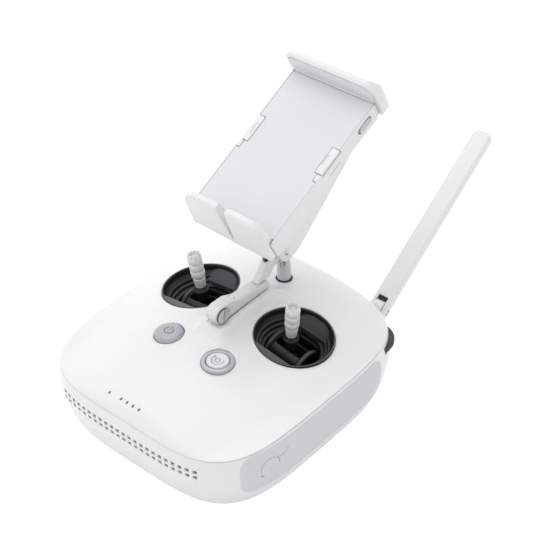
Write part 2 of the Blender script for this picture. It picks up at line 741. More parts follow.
def side_slab(t0, t1, z0, z1, r, out, inn, step=1.4, lip=0.0, holes=()):
    """A rounded rectangle wrapped round the casing's side from angle t0 to t1, between the
    offsets out and inn from the wall. It is laid out flat as (length along the wall, z)."""
    angles, lengths = wall_lengths(t0, t1)
    total = lengths[-1]

    def on_wall(along, z, offset):
        x, y = plan_point(float(np.interp(along, lengths, angles)), side_scale(z))
        return Vector((x, y, z)) + wall_normal(x, y) * offset

    verts, edges, rings = [], [], []
    for d in (0.0, 0.12, 0.35, 0.7) if lip else (0.0,):
        loop = round_rect(d, total - d, z0 + d, z1 - d, r - d, 8)
        ring = []
        for a, b in zip(loop, loop[1:] + loop[:1]):
            k = max(1, int(math.hypot(b[0] - a[0], b[1] - a[1]) / step))
            ring += [(a[0] + (b[0] - a[0]) * i / k, a[1] + (b[1] - a[1]) * i / k)
                     for i in range(k)]
        rings.append(ring)
        chain(ring, verts, edges)
    for hole in holes:
        chain(hole, verts, edges)
    placed = np.array(verts)
    for along in np.arange(step, total, step):
        for z in np.arange(z0 + step, z1, step):
            if np.min(np.hypot(placed[:, 0] - along, placed[:, 1] - z)) > step * 0.45:
                verts.append((along, z))
    points, faces = triangulate(
        verts, edges,
        lambda x, y: inside(rings[0], x, y) and not any(inside(h, x, y) for h in holes))

    def edge_distance(along, z):
        da, dz = min(along, total - along), min(z - z0, z1 - z)
        if da < r and dz < r:
            return r - math.hypot(r - da, r - dz)
        return min(da, dz)

    outer = [on_wall(a, z, out - (drop(edge_distance(a, z), lip) if lip else 0.0))
             for a, z in points]
    return sheet(outer, [on_wall(a, z, inn) for a, z in points], faces)


def pad_angles(side):
    t0, t1 = PAD_ANGLES
    return (t0, t1) if side > 0 else (180 - t1, 180 - t0)


# ------------------------------------------------------------------ lower shell
# heights of the outer rings, from the seam down to the foot
OUTER_Z = (45.2, 43.5, 41.0, 38.0, 35.0, 32.0, 29.0, 26.0, 23.0, 20.0, 17.0, 14.0, 11.5, 9.2,
           7.2, 5.6, 4.4, 3.4, 2.6, 1.9, 1.35, 0.9, 0.6, 0.36, 0.2, 0.08)
INNER_Z = (45.2, 38.0, 30.0, 22.0, 14.0, 8.0, 4.5)
FLOOR_Z = 2.4
SEAM_BEND_Z = 37.0                                  # rings above this start to follow the seam


def casing_ring(scale, z):
    bend = max(0.0, (z - SEAM_BEND_Z) / (SEAM_Z - SEAM_BEND_Z)) ** 1.3
    return [(x, y, z + seam_dip(x, y) * bend) for x, y in plan_ring(scale)]


def lower_shell():
    outer = [casing_ring(side_scale(z), z) for z in OUTER_Z]
    outer += [casing_ring(scale, 0.0) for scale in (0.80, 0.70, 0.45, 0.2)]
    inner = [casing_ring(side_scale(z) - WALL_SCALE, z) for z in INNER_Z]
    inner += [casing_ring(scale, FLOOR_Z) for scale in (0.80, 0.3)]
    mesh = bmesh.new()
    groups = [[[mesh.verts.new(p) for p in ring] for ring in rings] for rings in (outer, inner)]
    for rows in groups:
        for a, b in zip(rows, rows[1:]):
            bridge(mesh, a, b)
        mesh.faces.new(rows[-1])
    bridge(mesh, groups[0][0], groups[1][0])
    return outward(mesh)


PORT_ANGLE = math.atan2(PORT_Y, PORT_X)
port_x, port_y = plan_point(PORT_ANGLE, side_scale(PORT_Z))
port_normal = wall_normal(port_x, port_y)
PORT_AT = place((port_x, port_y, PORT_Z),
                turn("Z", math.degrees(math.atan2(port_normal.y, port_normal.x))) @ TO_X)


def lower_openings():
    tools = []
    for side in (1, -1):
        t0, t1 = pad_angles(side)
        tools.append(side_slab(t0 - 0.2, t1 + 0.2, PAD_Z[0] - 0.25, PAD_Z[1] + 0.25,
                               PAD_R + 0.25, out=3.0, inn=-1.2, step=3.0))
    for k in range(-11, 12):
        x = k * VENT_PITCH
        for z in VENT_ROWS:
            tools.append(prism(round_rect(x - 1.35, x + 1.35, z - 1.15, z + 1.15, 0.35, 2),
                               -93, -70, "XZ"))
    for side in (1, -1):
        tools.append(moved(cylinder(DIAL_R + 0.55, 37.3, 42.9, 64),
                           place((side * DIAL_AT, DIAL_AT, 0))))
    for _, x, z, r in REAR_KEYS:
        tools.append(y_cylinder(x, z, r + 0.3, 72, 92))
    tools.append(prism(round_rect(-16 - 6.3, -16 + 6.3, REAR_Z - 2.3, REAR_Z + 2.3, 1.2, 4),
                       72, 92, "XZ"))
    tools += knuckle_bores()
    for x, y in SCREWS:
        profile = [(0, 2.2), (3.4, 2.2), (3.4, 0.35), (3.75, 0.0), (4.2, -0.6), (0, -0.6)]
        tools.append(moved(lathe(profile, 40), place((x, y, 0))))
    tools.append(moved(cylinder(5.2, -10, 8), PORT_AT))
    return joined(*tools)


emit(cut(lower_shell(), lower_openings()), "lower_casing", WHITE, "casing", "bottom_shell",
     smooth=38)

# a dark strip behind the vent holes
emit(side_slab(-126.5, -53.5, 27.6, 36.2, 2.0, out=-1.25, inn=-2.1, step=2.2),
     "front_vent", DARK, "casing", "front_vent_grille")


# ------------------------------------------------------------------ grip pads and port cover
def port_holes():
    """Openings in the right pad: a round one for the cover, with a notch toward the front and
    a small bay high at the back, and a thin slit that runs on from the bay."""
    angles, lengths = wall_lengths(*PAD_ANGLES)
    along = float(np.interp(PORT_ANGLE, angles, lengths))

    def away(a, centre):
        return (math.degrees(a) - centre + 180) % 360 - 180

    loop = []
    for i in range(72):
        a = 2 * math.pi * i / 72
        r = 6.75
        notch, bay = away(a, 203), away(a, 42)
        if abs(notch) < 30:
            r += 1.15 * math.cos(math.radians(notch * 3)) ** 0.8
        if abs(bay) < 12:
            r += 0.9 * math.cos(math.radians(bay * 7.5))
        loop.append((along + r * math.cos(a), PORT_Z + r * math.sin(a)))
    x = along + 7.9 * math.cos(math.radians(30))
    z = PORT_Z + 7.9 * math.sin(math.radians(30))
    slit = [(x, z), (x + 3.6, z + 0.5), (x + 7.4, z + 3.3)]
    return [loop, [(p[0], p[1] - 0.17) for p in slit] + [(p[0], p[1] + 0.17) for p in slit[::-1]]]


for side, tag, _ in SIDES:
    pad = side_slab(*pad_angles(side), *PAD_Z, PAD_R, out=0.5, inn=-0.95, lip=0.7,
                    holes=port_holes() if side > 0 else ())
    emit(pad, "grip_" + tag, RUBBER, "casing", "grip_pad_" + tag, smooth=40)

cover = spin([(0, 0.95), (6.35, 0.62, 0.5), (6.5, -0.7, 0.1), (4.0, -0.7), (3.8, -2.7, 0.3),
              (0, -2.7)], 72, 4)
emit(cover, "port_flap", RUBBER, "port_cover", "port_cover", PORT_AT)
socket = cut(box(61.0, 73.0, -4.4, 4.4, -1.8, 1.8, 0.7, 3),
             box(63.5, 78.0, -3.6, 3.6, -1.1, 1.1, 0.5, 3))
emit(socket, "charge_port", STEEL, "casing", "charge_socket",
     place((0, PORT_Y, PORT_Z)))

# ------------------------------------------------------------------ case screws
CASE_SCREW = [(0, 13.2), (1.5, 13.2, 0.2), (1.5, 3.6), (3.0, 3.6, 0.2), (3.0, 1.9, 0.5),
              (1.4, 1.5), (0, 1.5)]
for i, (x, y) in enumerate(SCREWS):
    screw = cut(spin(CASE_SCREW, 40),
                prism(round_rect(-1.7, 1.7, -0.3, 0.3, 0.1, 1), 0, 2.6),
                prism(round_rect(-0.3, 0.3, -1.7, 1.7, 0.1, 1), 0, 2.6))
    emit(screw, "case_fastener_%d" % (i + 1), STEEL, "casing", "case_screw_%d" % (i + 1),
         place((x, y, 0)))

# ------------------------------------------------------------------ stick wells
# profiles: radius, height, corner radius
LINER = [(24.25, -0.45, 0.1), (23.5, -0.55, 0.2), (23.2, -1.1, 0.2), (23.0, -4.6, 0.6),
         (21.6, -6.9, 0.4), (20.6, -7.2, 0.3), (20.2, -9.4, 0.3), (18.9, -9.8, 0.3),
         (18.5, -11.6, 0.3), (17.0, -12.0, 0.3), (16.4, -12.8), (18.6, -13.4), (22.6, -12.0),
         (24.25, -6.0)]
MOUTH_RIM = [(24.2, -0.42, 0.05), (23.75, -0.40, 0.1), (23.6, -0.62), (24.2, -0.7)]
# sections of the ledge at the well's front and of the slope at its rear: y, z
FRONT_LEDGE = [(-24, -0.55), (-18.9, -1.0), (-18.6, -1.4), (-17.6, -8.0), (-18.6, -12.0),
               (-24, -12.0)]
REAR_SLOPE = [(24, -2.9), (22.4, -3.0), (15.9, -9.4), (15.5, -12.4), (24, -12.4)]
DRUM = [(0, 13.0), (11.4, 13.0, 0.5), (11.55, 10.2, 0.4), (10.3, 9.8, 0.2), (9.7, 9.0, 0.2),
        (9.7, -9.0, 0.2), (10.3, -9.8, 0.2), (11.55, -10.2, 0.4), (11.4, -13.0, 0.5),
        (0, -13.0)]
DRUM_BAND = [(11.8, 12.4, 0.2), (11.8, 10.7, 0.2), (11.0, 10.6), (11.0, 12.5)]
BOOT = [(0, 20.9), (3.4, 20.7, 0.4), (3.7, 19.9, 0.4), (4.1, 18.9, 0.4), (4.8, 18.0, 0.3),
        (4.8, 17.2, 0.3), (3.7, 16.7, 0.3), (3.15, 15.4, 0.3), (3.05, 4.9, 0.2), (0, 4.7)]
STEM = [(0, 35.6), (2.0, 35.6, 0.2), (2.0, 27.5), (3.75, 27.0, 0.3), (3.6, 24.0),
        (3.15, 19.0), (2.85, 12.0), (2.6, 4.8, 0.2), (0, 4.8)]
# the cap's top, as radius and depth below STICK_TOP, then its banded side, as radius and height
CAP_TOP = [(0, 2.9), (1.6, 2.7), (2.3, 1.9), (2.7, 0.6), (3.1, 0), (3.7, 0.05), (4.05, 0.5),
           (4.25, 1.3), (4.3, 2.2), (4.3, 3.4), (4.3, 4.6)]
CAP_SIDE = [(4.3, 39.0), (4.22, 38.7), (3.75, 38.5), (3.75, 37.9), (4.22, 37.7), (4.3, 37.4),
            (4.3, 35.4), (4.3, 33.5), (4.22, 33.2), (3.8, 33.0), (3.8, 32.5), (4.22, 32.3),
            (4.3, 32.0), (4.3, 30.2), (4.25, 28.8), (3.95, 27.9), (3.7, 27.6), (2.3, 27.6)]


def build_well(side, tag):
    at = MOUTH_AT[side]
    emit(spin_ring(LINER, 112), "well_bowl_" + tag, BLACK, "casing", "well_liner_" + tag,
         at)
    emit(spin_ring(MOUTH_RIM, 128), "well_rim_" + tag, RIM_LINE, "casing", None,
         at)
    ledge = common(prism(FRONT_LEDGE, -24, 24, "YZ"), cylinder(23.3, -14, 1, 112))
    emit(ledge, "well_ledge_" + tag, LEDGE, "casing", None, at)
    slope = common(prism(REAR_SLOPE, -24, 24, "YZ"), cylinder(23.1, -14, 1, 112))
    emit(slope, "well_slope_" + tag, DARK if side < 0 else SLOPE, "casing", None,
         at)


def build_gimbal(tag, word, at):
    cradle = cut(box(-19.0, 19.0, -17.0, 17.0, -7.5, 5.6, 1.0),
                 box(-15.6, 15.6, -13.2, 13.2, -12, 12, 0.6), x_cylinder(2.6, -24, 24, 32))
    emit(cradle, "gimbal_cradle_" + tag, BLACK, "casing", "gimbal_frame_" + tag,
         at)
    # the drum rocks about x; its end rings stand proud of the waist
    drum = fuse(moved(spin(DRUM, 96), place(rot=TO_X)), x_cylinder(2.35, -18.4, 18.4, 32))
    drum = cut(drum, bevel(prism(round_rect(-9.5, 9.5, -3.9, 3.9, 1.6, 4), -14, 14), 0.01, 1),
               cross_cylinder(2.25, -8.7, 8.7, 32))
    emit(drum, "yoke_drum_" + tag, BLACK, word + "_yoke", "gimbal_yoke_" + tag,
         at)
    for k, rot in enumerate((TO_X, turn("Y", -90))):
        emit(spin_ring(DRUM_BAND, 96, 2), "yoke_band_%s_%d" % (tag, k + 1), DARK,
             word + "_yoke", None, at @ place(rot=rot))
    hub = fuse(cross_cylinder(2.05, -8.0, 8.0, 32),
               bevel(cross_cylinder(3.5, -3.5, 3.5, 48), 0.4, 2))
    emit(hub, "stick_cross_" + tag, DARK, word + "_stick", "stick_carrier_" + tag,
         at)


def cap_shape(r, z, t):
    """Crown of teeth at the very top and fine flutes on the bands."""
    root = STICK_TOP - 3.2
    if z > root and r > 2.6:
        k = min(1.0, (z - root) / 2.2)
        gap = 0.5 - 0.5 * math.cos(9 * t)
        return r - 0.75 * k * gap ** 1.2, z - 1.0 * k * gap
    if r > 4.2 and z > 28.1:
        r = r + 0.12 * (abs(math.sin(20 * t)) - 0.5)
    return r, z


def build_stick(side, tag, word, pivot):
    body = word + "_stick"
    lean = Vector((*STICK_LEAN[side], 1.0)).normalized()
    at = place(pivot, Vector((0, 0, 1)).rotation_difference(lean).to_matrix())
    emit(spin(BOOT, 56, 4), "stick_boot_" + tag, BLACK, body, None, at)
    emit(spin(STEM, 48), "stick_stem_" + tag, ALU, body, "stick_shaft_" + tag, at)
    hollow = STICK_TOP - 8
    cap = [(r, STICK_TOP - d) for r, d in CAP_TOP] + CAP_SIDE + [(2.3, hollow), (0, hollow)]
    emit(lathe(cap, 144, shape=cap_shape), "stick_cap_" + tag, ALU, body, "stick_tip_" + tag,
         at, smooth=40)


for side, tag, word in SIDES:
    tilt = turn("Y", WELL_TILT * side)
    pivot = place((side * WELL[0], WELL[1], WELL[2]), tilt) @ Vector((0, 0, -GIMBAL_DEPTH))
    build_well(side, tag)
    build_gimbal(tag, word, place(pivot, tilt))
    build_stick(side, tag, word, pivot)

# ------------------------------------------------------------------ top keys and their marks
KEY_Z = crown(*POWER_AT)
POWER_KEY_AT, HOME_KEY_AT = place((*POWER_AT, KEY_Z)), place((*HOME_AT, KEY_Z))


def stroke(points, width, z_of, h=0.12):
    """A line drawn as a low raised ridge on a surface of height z_of(x, y)."""
    sections, last = [], len(points) - 1
    for i, p in enumerate(points):
        p = Vector(p)
        along = (Vector(points[min(i + 1, last)]) - Vector(points[max(i - 1, 0)])).normalized()
        across = Vector((-along.y, along.x)) * width / 2
        a, b = p + across, p - across
        za, zb = z_of(a.x, a.y), z_of(b.x, b.y)
        sections.append([(a.x, a.y, za - 0.2), (a.x, a.y, za + h * 0.5),
                         (p + across * 0.7).to_tuple() + (za + h,),
                         (p - across * 0.7).to_tuple() + (zb + h,),
                         (b.x, b.y, zb + h * 0.5), (b.x, b.y, zb - 0.2)])
    return loft(sections)


def dense(points, k=6):
    out = []
    for a, b in zip(points, points[1:]):
        out += [(a[0] + (b[0] - a[0]) * i / k, a[1] + (b[1] - a[1]) * i / k) for i in range(k)]
    return out + [points[-1]]


def power_key_z(x, y):
    return float(np.interp(math.hypot(x, y), [0, 3.7, 6.8], [2.35, 2.22, 1.85]))


def home_key_z(x, y):
    return float(np.interp(math.hypot(x, y), [0, 3.0, 5.4], [1.15, 1.2, 1.45]))


power_key = spin([(0, 2.35), (3.7, 2.22), (6.8, 1.85, 1.0), (7.7, 1.35, 0.6), (8.75, 0.35, 0.5),
                  (9.0, -0.4, 0.3), (9.0, -3.0), (0, -3.0)], 96, 4)
emit(power_key, "power_key", POWER, "power_button", "power_button",
     POWER_KEY_AT)
mark = joined(stroke(arc(0, 0, 2.75, 125, 415, 40), 0.62, power_key_z),
              stroke(dense([(0, 0.9), (0, 3.6)]), 0.62, power_key_z))
emit(mark, "power_mark", ICON_GREY, "power_button", None, POWER_KEY_AT)

home_ring = spin_ring([(9.75, -0.2, 0.1), (9.7, 0.55, 0.4), (8.1, 1.15, 0.5), (7.4, 0.95, 0.2),
                       (7.1, 0.3), (7.1, -2.8), (9.75, -2.8)], 112, 4)
emit(home_ring, "return_ring", RING, "casing", "home_ring", HOME_KEY_AT)
home_key = spin([(0, 1.15), (3.0, 1.2), (5.4, 1.45, 0.8), (6.15, 1.5, 0.4), (6.65, 0.9, 0.3),
                 (6.75, 0.0), (6.75, -2.8), (0, -2.8)], 96, 4)
emit(home_key, "return_key", DISC, "home_button", "home_button", HOME_KEY_AT)
# a house with an arrow curling over it: roof, walls, arc and arrowhead
HOUSE_LINES = (dense([(-1.9, 0.1), (0, 1.9), (1.9, 0.1)]),
               dense([(-1.35, 0.2), (-1.35, -1.6), (1.35, -1.6), (1.35, 0.2)]),
               arc(0, -0.1, 3.7, 150, 392, 30),
               dense([(-4.3, 1.0), (-3.3, 1.9), (-2.3, 1.05)]))
emit(joined(*[stroke(line, 0.5, home_key_z) for line in HOUSE_LINES]), "return_mark",
     ICON_LIGHT, "home_button", None, HOME_KEY_AT)

# ------------------------------------------------------------------ status lamps
pipe = box(LED_MID - 14.0, LED_MID + 14.0, LED_Y - 1.6, LED_Y + 1.6, 44.0, 46.4, 0.3, 1)
for x in LED_X:
    pipe = fuse(pipe, bevel(prism(lamp_outline(x, 0.62, 0.2), 45.0, crown(x, LED_Y) - 3.0),
                            0.12, 1))
emit(pipe, "lamp_pipe", LENS, "casing", "led_light_pipe")
# the tips end just under the surface of the casing
tips = [prism(lamp_outline(x, 0.60, 0.2), 45.2, body_z(x, LED_Y) - 0.35) for x in LED_X]
emit(joined(*tips), "lamp_tips", LENS, "casing", None)

# ------------------------------------------------------------------ strap post
post = spin([(0, 76.9), (3.4, 76.9, 0.4), (4.4, 76.1, 0.6), (4.4, 59.5), (0, 59.5)], 64, 4)
emit(post, "strap_stud", STEEL, "casing", "strap_post", place((0, POST_Y, 0)))
washer = spin_ring([(5.15, 60.5, 0.2), (4.9, 60.75, 0.1), (4.5, 60.8, 0.05), (4.5, 59.5),
                    (5.15, 59.5)], 72, 4)
emit(washer, "strap_washer", BLACK_RIM, "casing", "strap_post_ring",
     place((0, POST_Y, 0)))

# ------------------------------------------------------------------ arm
DETENT_AT = place((0, 7.6, 74.7), turn("X", -24.0))
# side view of the bar: y, z
BAR = (arc(ARM_Y, ARM_Z, 5.6, 268, 92, 28)
       + soften([(2.6, 76.35), (4.2, 76.1, 3.0), (11.8, 72.7, 4.0), (30.0, 71.7)], False, 5)
       + arc(34.6, 69.1, 2.4, 80, 0, 6) + [(37.0, 67.0), (35.6, 65.6), (8.0, 65.4)])
bar = cut(bevel(prism(BAR, -4.3, 4.3, "YZ"), 1.1, 4, 50),
          moved(x_cylinder(2.8, -12, 12, 40), place((0, ARM_Y, ARM_Z))),
          moved(cylinder(2.4, -1.2, 3.0), DETENT_AT))
emit(bar, "arm_beam", FROST, "arm", "arm_bar")
plug = spin([(0, 0.15), (1.5, 0.1, 0.4), (2.1, -0.5, 0.3), (2.1, -1.1), (0, -1.1)], 40)
emit(moved(plug, DETENT_AT), "arm_detent", WHITE, "arm", None)

# the strut rises from the bar to the tray's hinge; its directions are (y, z)
STRUT_R, STRUT_FOOT_Z = 6.3, 72.1
strut_up, strut_front = Vector((0.665, 0.747)), Vector((-0.747, 0.665))
hinge = Vector((TILT_Y, TILT_Z))
front_top, rear_top = hinge + strut_front * STRUT_R, hinge - strut_front * STRUT_R
front_foot, rear_foot = [p - strut_up * ((p.y - STRUT_FOOT_Z) / strut_up.y)
                         for p in (front_top, rear_top)]
front_angle = math.degrees(math.atan2(strut_front.y, strut_front.x))
outline = ([tuple(front_foot)]
           + arc(hinge.x, hinge.y, STRUT_R, front_angle, front_angle - 180, 30)
           + [(rear_foot.x - 2.6, STRUT_FOOT_Z + 4.0), (rear_foot.x - 6.0, STRUT_FOOT_Z)])
# a blind screw hole in the strut's front face
hole = front_top - strut_up * 9.3
HOLE_AT = place((0, hole.x, hole.y), turn("X", front_angle - 90))
strut = cut(bevel(prism(outline, -2.6, 2.6, "YZ"), 0.6, 3, 50),
            moved(x_cylinder(2.3, -12, 12, 40), place((0, TILT_Y, TILT_Z))),
            moved(cylinder(2.05, -3.2, 2), HOLE_AT))
emit(strut, "arm_strut", WHITE, "arm", "arm_link")
eyelet = spin_ring([(2.0, 0.12, 0.1), (2.65, 0.12, 0.15), (2.7, -0.3), (2.0, -0.5)], 48, 2)
emit(eyelet, "strut_eyelet", SILVER, "arm", None, HOLE_AT)
screw = spin([(0, -1.4), (1.5, -1.5, 0.3), (1.95, -2.0, 0.1), (1.95, -3.1), (0, -3.1)], 40)
emit(cut(screw, cylinder(0.85, -2.7, 0, 6)), "strut_screw", DARK, "arm", None, HOLE_AT)

coin_screw = spin([(0, 6.0), (3.9, 6.0, 0.4), (4.75, 5.65, 0.25), (4.85, 4.95, 0.15),
                   (2.4, 4.8), (2.4, -4.4), (0, -4.4)], 72)
coin_screw = cut(coin_screw,
                 bevel(prism(round_rect(-0.65, 0.65, -7, 7, 0.2, 1), 5.2, 9.0), 0.01, 1))
COIN_SCREW_AT = place((0, ARM_Y, ARM_Z), TO_X) @ place(rot=turn("Z", 90 - 8))
emit(coin_screw, "arm_coin_screw", SILVER, "casing", "arm_screw",
     COIN_SCREW_AT)
collar = spin_ring([(4.87, 5.5), (5.08, 5.45, 0.05), (5.08, 4.7), (4.87, 4.7)], 72, 2)
emit(collar, "coin_screw_collar", DARK, "casing", None, COIN_SCREW_AT)


def pin(r, half, chamfer, sides):
    """A plain pin along Z with a chamfer of the given size at both ends."""
    run, rise = chamfer
    return spin([(0, half), (r - run, half, 0.2), (r, half - rise, 0.1),
                 (r, rise - half, 0.1), (r - run, -half, 0.2), (0, -half)], sides, 2)


emit(pin(2.0, 8.6, (0.3, 0.4), 40), "tray_pin", DARK, "arm", "tilt_pin",
     place((0, TILT_Y, TILT_Z), TO_X))

# ------------------------------------------------------------------ tray
# In the tray's frame x runs across, y from the lip up to the clamp, and z out of the mat.
tray_hinge = TRAY.inverted() @ Vector((0, TILT_Y, TILT_Z))
HINGE_Y, HINGE_Z = tray_hinge.y, tray_hinge.z
RUNNER_Z = (-8.2, -4.8)                             # slots for the clamp's runners


def plate_section(y, edge_in):
    bottom = float(np.interp(y, [-3.0, 4.0, 62.0, 103.0], [-15.2, -15.0, -10.3, -12.2]))
    x = 31.0 - edge_in
    half = soften([(30.15, -1.45), (30.15, 0.12, 0.25), (x, 0.12, 0.45),
                   (x, bottom + edge_in, 1.3), (26.0, bottom + edge_in - 0.2)], False, 3)
    return [(x, y, z) for x, z in half] + [(-x, y, z) for x, z in reversed(half)]


def tray_body():
    plate = loft([plate_section(y, 1.1 if (y < -2.8 or y > 100.7) else 0.0)
                  for y in np.linspace(-2.9, 100.8, 27)])
    wedge = soften([(6.5, -9.0), (5.2, -28.5, 2.5), (9.0, -31.8, 2.0), (13.0, -31.4, 1.0),
                    (46.0, -23.5), (74.0, -16.2, 3.0), (80.0, -9.0)], True, 4)
    stem = ([(7.5, -26.0), (8.6, HINGE_Z)] + arc(HINGE_Y, HINGE_Z, 6.4, 180, 360, 24)
            + [(24.5, -40.0), (42.0, -23.4)])
    # clearance that lets the strut in between the stem's two cheeks
    clearance = (arc(HINGE_Y, HINGE_Z, 8.6, 0, 105, 16)
                 + [(HINGE_Y - 30.0, HINGE_Z + 16.0), (HINGE_Y - 30.0, HINGE_Z - 20.0),
                    (HINGE_Y + 8.6, HINGE_Z - 20.0)])
    body = fuse(plate, bevel(prism(wedge, -27.5, 27.5, "YZ"), 1.4, 4, 50),
                bevel(prism(stem, -8.2, 8.2, "YZ"), 0.9, 3, 50))
    body = cut(body, prism(clearance, -3.6, 3.6, "YZ"),
               moved(x_cylinder(2.3, -14, 14, 40), place((0, HINGE_Y, HINGE_Z))))
    for side in (1, -1):
        body = cut(body,
                   box(*span(side, 12, 20), 22.0, 110.0, *RUNNER_Z),
                   box(*span(side, 29.0, 34), 46.7, 65.3, -1.45, 3.0),      # flip tab
                   box(*span(side, 30.4, 33), 51.5, 61.4, -6.52, -6.08))    # slit in the wall
    return cut(body,
               prism(round_rect(81.0, 93.6, -6.4, -1.9, 2.1, 6), 26.5, 34.0, "YZ"),
               box(-30.0, -15.0, 17.0, 30.0, -25.0, -18.6),
               box(-19.5, 19.5, 98.4, 110.0, *RUNNER_Z))


emit(tray_body(), "tray_body", WHITE_SATIN, "tray", "tray_frame", TRAY,
     smooth=34)

mat = bevel(prism(round_rect(-29.95, 29.95, 0.3, 99.8, 0.8, 3), -1.35, 0.0), 0.3, 3, 50)
for side in (1, -1):
    mat = cut(mat, prism(round_rect(*span(side, 25.0, 34), 46.6, 65.4, 0.7, 3), -4, 3),
              prism(round_rect(*span(side, 27.4, 34), 41.3, 47.6, 0.7, 3), -4, 3))
emit(mat, "tray_mat", PALE, "tray", "tray_pad", TRAY)
# the step at the lip end of each flip tab
for side, tag, _ in SIDES:
    stop = prism(round_rect(*span(side, 27.8, 30.5), 41.7, 46.4, 0.8, 3), -2.0, 0.35)
    emit(bevel(stop, 0.3, 3, 50), "tab_stop_" + tag, WHITE_SATIN, "tray", None,
         TRAY)

LIP = [(-8.1, -12.6, 1.5), (-4.6, 15.0, 1.0), (-3.6, 16.5, 0.9), (-0.7, 16.5, 0.8),
       (-0.05, 14.6, 0.5), (-0.05, -1.4), (-3.3, -1.4), (-3.3, -13.2, 0.6)]
lip_face = ([(-29.4, -20), (29.4, -20)] + arc(19.4, 6.5, 10.0, 0, 90, 16)
            + arc(-19.4, 6.5, 10.0, 90, 180, 16))
LIP_GAP = [(-2.6, 20.0), (-2.6, 16.0), (1.6, -9.0), (3.3, -9.0), (3.8, 16.0), (3.8, 20.0)]
lip = common(prism(soften(LIP, True, 4), -29.5, 29.5, "YZ"), prism(lip_face, -16, 8, "XZ"))
lip = bevel(cut(lip, prism(LIP_GAP, -15, 9, "XZ")), 0.75, 3, 40)
emit(lip, "tray_lip_tabs", WHITE_SATIN, "tray", "tray_lip", TRAY)

usb = cut(box(-27.3, -16.0, 17.6, 29.4, -24.2, -19.4, 0.5),
          box(-30.0, -18.0, 18.2, 28.8, -23.6, -20.0, 0.3))
emit(usb, "cable_socket", STEEL, "tray", "usb_socket", TRAY)

# ------------------------------------------------------------------ clamp
JAW = [(101.1, 13.0, 0.5), (101.1, -12.6, 0.4), (104.0, -13.0, 1.0), (108.0, -11.5, 2.0),
       (110.6, -7.5, 3.0), (111.2, -1.0, 5.0), (110.0, 5.5, 5.0), (107.4, 10.9, 3.0),
       (105.2, 13.6, 1.5), (103.0, 14.3, 1.5)]
jaw_face = ([(-33, -9.0)] + arc(-28.5, -8.5, 4.5, 180, 270, 6)
            + arc(28.5, -8.5, 4.5, 270, 360, 6) + arc(22.5, 3.9, 10.5, 0, 90, 20)
            + arc(-28.0, 9.4, 5.0, 90, 180, 12))
jaw_plan = ([(-33, 98), (33, 98)] + arc(23.8, 103.3, 9.2, 0, 90, 18)
            + arc(-25.8, 105.3, 7.2, 90, 180, 14))
# the recess in the jaw's face and the rubber that lies in it
jaw_recess = ([(-30.9, 1.2), (30.9, 1.2)] + arc(22.1, 3.5, 8.8, 0, 90, 20)
              + arc(-27.1, 8.5, 3.8, 90, 180, 12))
jaw_mat = ([(-30.5, 1.55), (30.5, 1.55)] + arc(22.0, 3.5, 8.5, 2, 90, 20)
           + arc(-27.0, 8.5, 3.5, 90, 178, 12))
jaw = prism(soften(JAW, True, 4), -33.0, 33.0, "YZ")
jaw = common(common(jaw, prism(jaw_face, 95, 115, "XZ")), prism(jaw_plan, -16, 18))
jaw = bevel(cut(jaw, prism(jaw_recess, 100.0, 101.75, "XZ")), 0.8, 3, 44)
emit(jaw, "clamp_jaw", WHITE_SATIN, "clamp", "clamp_bar", TRAY)
shelf = bevel(prism(round_rect(-29.6, 29.6, 100.0, 101.6, 0.4, 3), -1.2, 0.5), 0.25, 3, 50)
emit(shelf, "clamp_shelf", WHITE_SATIN, "clamp", None, TRAY)
emit(bevel(prism(jaw_mat, 100.75, 101.7, "XZ"), 0.25, 2, 50), "clamp_mat", PALE, "clamp",
     "clamp_rubber", TRAY)

runners = [box(*span(side, 13.4, 18.6), 32.0, 100.2, -7.8, -5.2, 0.5) for side in (1, -1)]
runners = fuse(joined(*runners), box(-18.0, 18.0, 99.0, 100.8, -7.6, -5.4, 0.2, 1))
emit(runners, "clamp_runners", STEEL, "clamp", "clamp_rails", TRAY)

release = bevel(prism(round_rect(82.0, 92.8, -5.9, -2.4, 1.7, 6), 28.4, 32.1, "YZ"), 0.45, 3, 50)
for k in range(7):
    rib = box(31.9, 32.35, 83.6 + 1.25 * k, 84.3 + 1.25 * k, -5.4, -2.9)
    release = fuse(release, bevel(rib, 0.12, 2, 50))
emit(release, "release_key", SILVER, "release_button", "release_button", TRAY)

for side, tag, word in SIDES:
    tab = bevel(prism(round_rect(*span(side, 25.4, 30.4), 47.0, 65.0, 0.7, 4), -1.05, 0.35),
                0.28, 3, 50)
    groove = prism(round_rect(*span(side, 26.2, 27.6), 52.0, 60.0, 0.6, 4), 0.12, 1.0)
    emit(cut(tab, bevel(groove, 0.01, 1)), "flip_tab_" + tag, WHITE_SATIN,
         word + "_side_tab", "side_tab_" + tag, TRAY)


